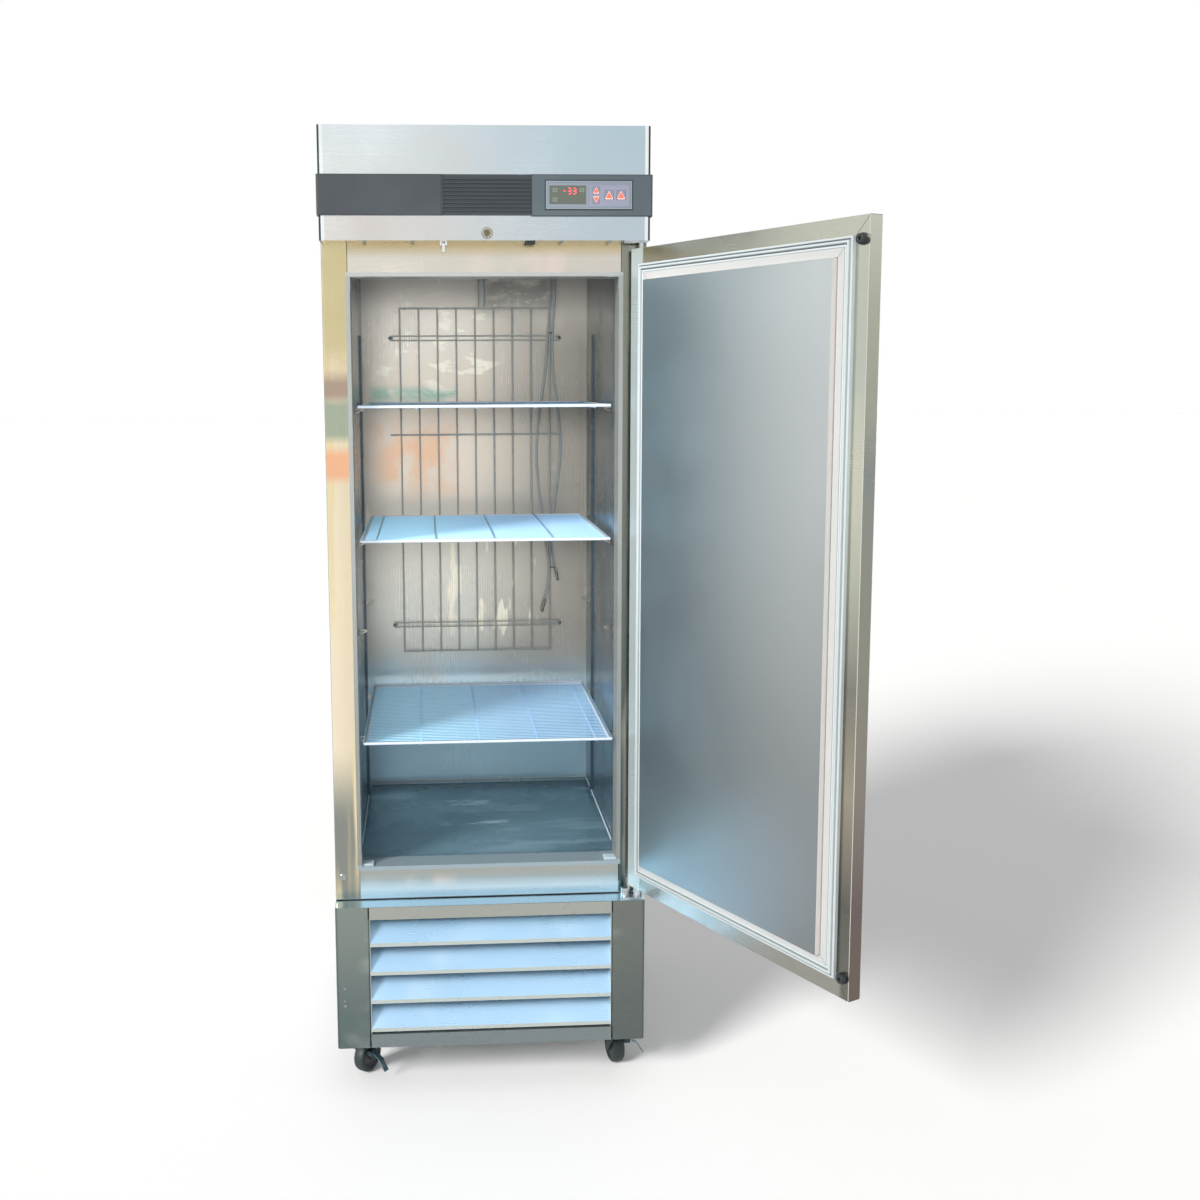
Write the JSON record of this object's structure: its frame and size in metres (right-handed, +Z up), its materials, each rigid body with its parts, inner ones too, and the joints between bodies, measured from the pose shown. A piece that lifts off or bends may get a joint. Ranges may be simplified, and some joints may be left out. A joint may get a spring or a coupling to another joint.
{
  "type": "laboratory freezer",
  "caption": "Upright steel freezer on casters with one hinged door standing open, wire shelves, a hood with a keypad and a louvred base.",
  "frame": {"origin": "on the floor under the middle of the cabinet's footprint", "axes": "+Z up, +X to the right as seen from the front, +Y into the cabinet from its door"},
  "size_m": [0.9903, 1.3303, 2.1],
  "materials": {
    "steel": "satin",
    "liner_steel": "satin",
    "galvanised": "satin",
    "shelf_coat": "gloss",
    "wire_steel": "satin",
    "foam": "matte",
    "breaker_plastic": "satin",
    "trim_plastic": "satin",
    "gasket_rubber": "matte",
    "black_rubber": "matte",
    "band_plastic": "satin",
    "display_plastic": "gloss",
    "key_plastic": "satin",
    "white_plastic": "satin",
    "lock_nickel": "polished",
    "plug_brass": "polished",
    "hinge_steel": "polished",
    "door_inner": "satin",
    "lead_plastic": "matte",
    "drain_plastic": "satin",
    "fin_aluminium": "satin",
    "cover_aluminium": "satin",
    "motor_black": "satin",
    "fan_plastic": "satin",
    "grille_metal": "gloss",
    "compressor_black": "gloss",
    "tyre_black": "matte",
    "zinc": "satin"
  },
  "bodies": {
    "cabinet": {"side_panel_left": "steel", "side_panel_right": "steel", "rear_panel": "galvanised", "roof_panel": "steel", "floor_panel": "galvanised", "cabinet_foam": "foam", "front_rails": "steel", "liner_sides": "liner_steel", "liner_rear": "liner_steel", "liner_ceiling": "liner_steel", "liner_floor": "liner_steel", "breaker_frame": "breaker_plastic", "shelf_pilasters": "liner_steel", "shelf_clips": "wire_steel", "coil_guard": "wire_steel", "probe_leads": "lead_plastic", "evaporator_cover": "cover_aluminium", "drain_tube": "drain_plastic", "evaporator_coil": "fin_aluminium", "fan_motors": "motor_black", "hood_panel": "steel", "hood_band": "band_plastic", "control_housing": "band_plastic", "display_module": "display_plastic", "lock_body": "lock_nickel", "door_switch": "white_plastic", "hinge_brackets": "hinge_steel", "base_shell": "steel", "base_chassis": "galvanised", "louvre_grille": "grille_metal", "compressor": "compressor_black", "condenser": "fin_aluminium"},
    "door": {"door_pan": "steel", "door_foam": "foam", "door_liner": "door_inner", "door_trim": "trim_plastic", "door_gasket": "gasket_rubber", "door_bumpers": "black_rubber", "door_handle": "band_plastic"},
    "shelf_lower": {"shelf_lower": "shelf_coat"},
    "shelf_middle": {"shelf_middle": "shelf_coat"},
    "shelf_upper": {"shelf_upper": "shelf_coat"},
    "evaporator_fan": {"evaporator_fan": "fan_plastic"},
    "condenser_fan": {"condenser_fan": "fan_plastic"},
    "key_up": {"key_up": "key_plastic"},
    "key_down": {"key_down": "key_plastic"},
    "key_left": {"key_left": "key_plastic"},
    "key_right": {"key_right": "key_plastic"},
    "lock_plug": {"lock_plug": "plug_brass"},
    "switch_lever": {"switch_lever": "white_plastic"},
    "caster_fl_fork": {"caster_fl_fork": "zinc"},
    "caster_fl_wheel": {"caster_fl_wheel": "tyre_black"},
    "caster_fl_brake": {"caster_fl_brake": "zinc"},
    "caster_fr_fork": {"caster_fr_fork": "zinc"},
    "caster_fr_wheel": {"caster_fr_wheel": "tyre_black"},
    "caster_fr_brake": {"caster_fr_brake": "zinc"},
    "caster_rl_fork": {"caster_rl_fork": "zinc"},
    "caster_rl_wheel": {"caster_rl_wheel": "tyre_black"},
    "caster_rr_fork": {"caster_rr_fork": "zinc"},
    "caster_rr_wheel": {"caster_rr_wheel": "tyre_black"}
  },
  "joints": [
    {"name": "door_swing", "type": "hinge", "parent": "cabinet", "child": "door", "pos_m": [0.3265, -0.3792, 1.1595], "axis": [0, 0, 1], "range_deg": [-117.3, 2.7]},
    {"name": "shelf_lower_lift", "type": "slide", "parent": "cabinet", "child": "shelf_lower", "axis": [0, 0, 1], "range_m": [0, 0.025]},
    {"name": "shelf_middle_lift", "type": "slide", "parent": "cabinet", "child": "shelf_middle", "axis": [0, 0, 1], "range_m": [0, 0.025]},
    {"name": "shelf_upper_lift", "type": "slide", "parent": "cabinet", "child": "shelf_upper", "axis": [0, 0, 1], "range_m": [0, 0.025]},
    {"name": "key_up_press", "type": "slide", "parent": "cabinet", "child": "key_up", "axis": [0, 1, 0], "range_m": [0, 0.0006], "stiffness_N_per_m": 100},
    {"name": "key_down_press", "type": "slide", "parent": "cabinet", "child": "key_down", "axis": [0, 1, 0], "range_m": [0, 0.0006], "stiffness_N_per_m": 100},
    {"name": "key_left_press", "type": "slide", "parent": "cabinet", "child": "key_left", "axis": [0, 1, 0], "range_m": [0, 0.0006], "stiffness_N_per_m": 100},
    {"name": "key_right_press", "type": "slide", "parent": "cabinet", "child": "key_right", "axis": [0, 1, 0], "range_m": [0, 0.0006], "stiffness_N_per_m": 100},
    {"name": "lock_turn", "type": "hinge", "parent": "cabinet", "child": "lock_plug", "pos_m": [0.003, -0.3975, 1.8845], "axis": [0, -1, 0], "range_deg": [0, 90]},
    {"name": "switch_swing", "type": "hinge", "parent": "cabinet", "child": "switch_lever", "pos_m": [-0.087, -0.3585, 1.866], "axis": [1, 0, 0], "range_deg": [0, 12], "stiffness_Nm_per_rad": 0.01},
    {"name": "evaporator_fan_spin", "type": "hinge", "parent": "cabinet", "child": "evaporator_fan", "pos_m": [0, -0.18, 1.9575], "axis": [0, 1, 0], "continuous": true},
    {"name": "condenser_fan_spin", "type": "hinge", "parent": "cabinet", "child": "condenser_fan", "pos_m": [-0.08, -0.19258, 0.239], "axis": [0, 1, 0], "continuous": true},
    {"name": "caster_fl_swivel", "type": "hinge", "parent": "cabinet", "child": "caster_fl_fork", "pos_m": [-0.298, -0.302, 0.1], "axis": [0, 0, 1], "continuous": true},
    {"name": "caster_fl_roll", "type": "hinge", "parent": "caster_fl_fork", "child": "caster_fl_wheel", "pos_m": [-0.28366, -0.28152, 0.0375], "axis": [0.8192, -0.5736, 0], "continuous": true},
    {"name": "caster_fl_brake_press", "type": "hinge", "parent": "caster_fl_fork", "child": "caster_fl_brake", "pos_m": [-0.27056, -0.30657, 0.055], "axis": [0.5736, 0.8192, 0], "range_deg": [0, 12]},
    {"name": "caster_fr_swivel", "type": "hinge", "parent": "cabinet", "child": "caster_fr_fork", "pos_m": [0.298, -0.302, 0.1], "axis": [0, 0, 1], "continuous": true},
    {"name": "caster_fr_roll", "type": "hinge", "parent": "caster_fr_fork", "child": "caster_fr_wheel", "pos_m": [0.2928, -0.27755, 0.0375], "axis": [0.9781, 0.2079, 0], "continuous": true},
    {"name": "caster_fr_brake_press", "type": "hinge", "parent": "caster_fr_fork", "child": "caster_fr_brake", "pos_m": [0.32006, -0.28504, 0.055], "axis": [-0.2079, 0.9781, 0], "range_deg": [0, 12]},
    {"name": "caster_rl_swivel", "type": "hinge", "parent": "cabinet", "child": "caster_rl_fork", "pos_m": [-0.298, 0.282, 0.1], "axis": [0, 0, 1], "continuous": true},
    {"name": "caster_rl_roll", "type": "hinge", "parent": "caster_rl_fork", "child": "caster_rl_wheel", "pos_m": [-0.30655, 0.30549, 0.0375], "axis": [0.9397, 0.342, 0], "continuous": true},
    {"name": "caster_rr_swivel", "type": "hinge", "parent": "cabinet", "child": "caster_rr_fork", "pos_m": [0.298, 0.282, 0.1], "axis": [0, 0, 1], "continuous": true},
    {"name": "caster_rr_roll", "type": "hinge", "parent": "caster_rr_fork", "child": "caster_rr_wheel", "pos_m": [0.30447, 0.30615, 0.0375], "axis": [0.9659, -0.2588, 0], "continuous": true}
  ]
}
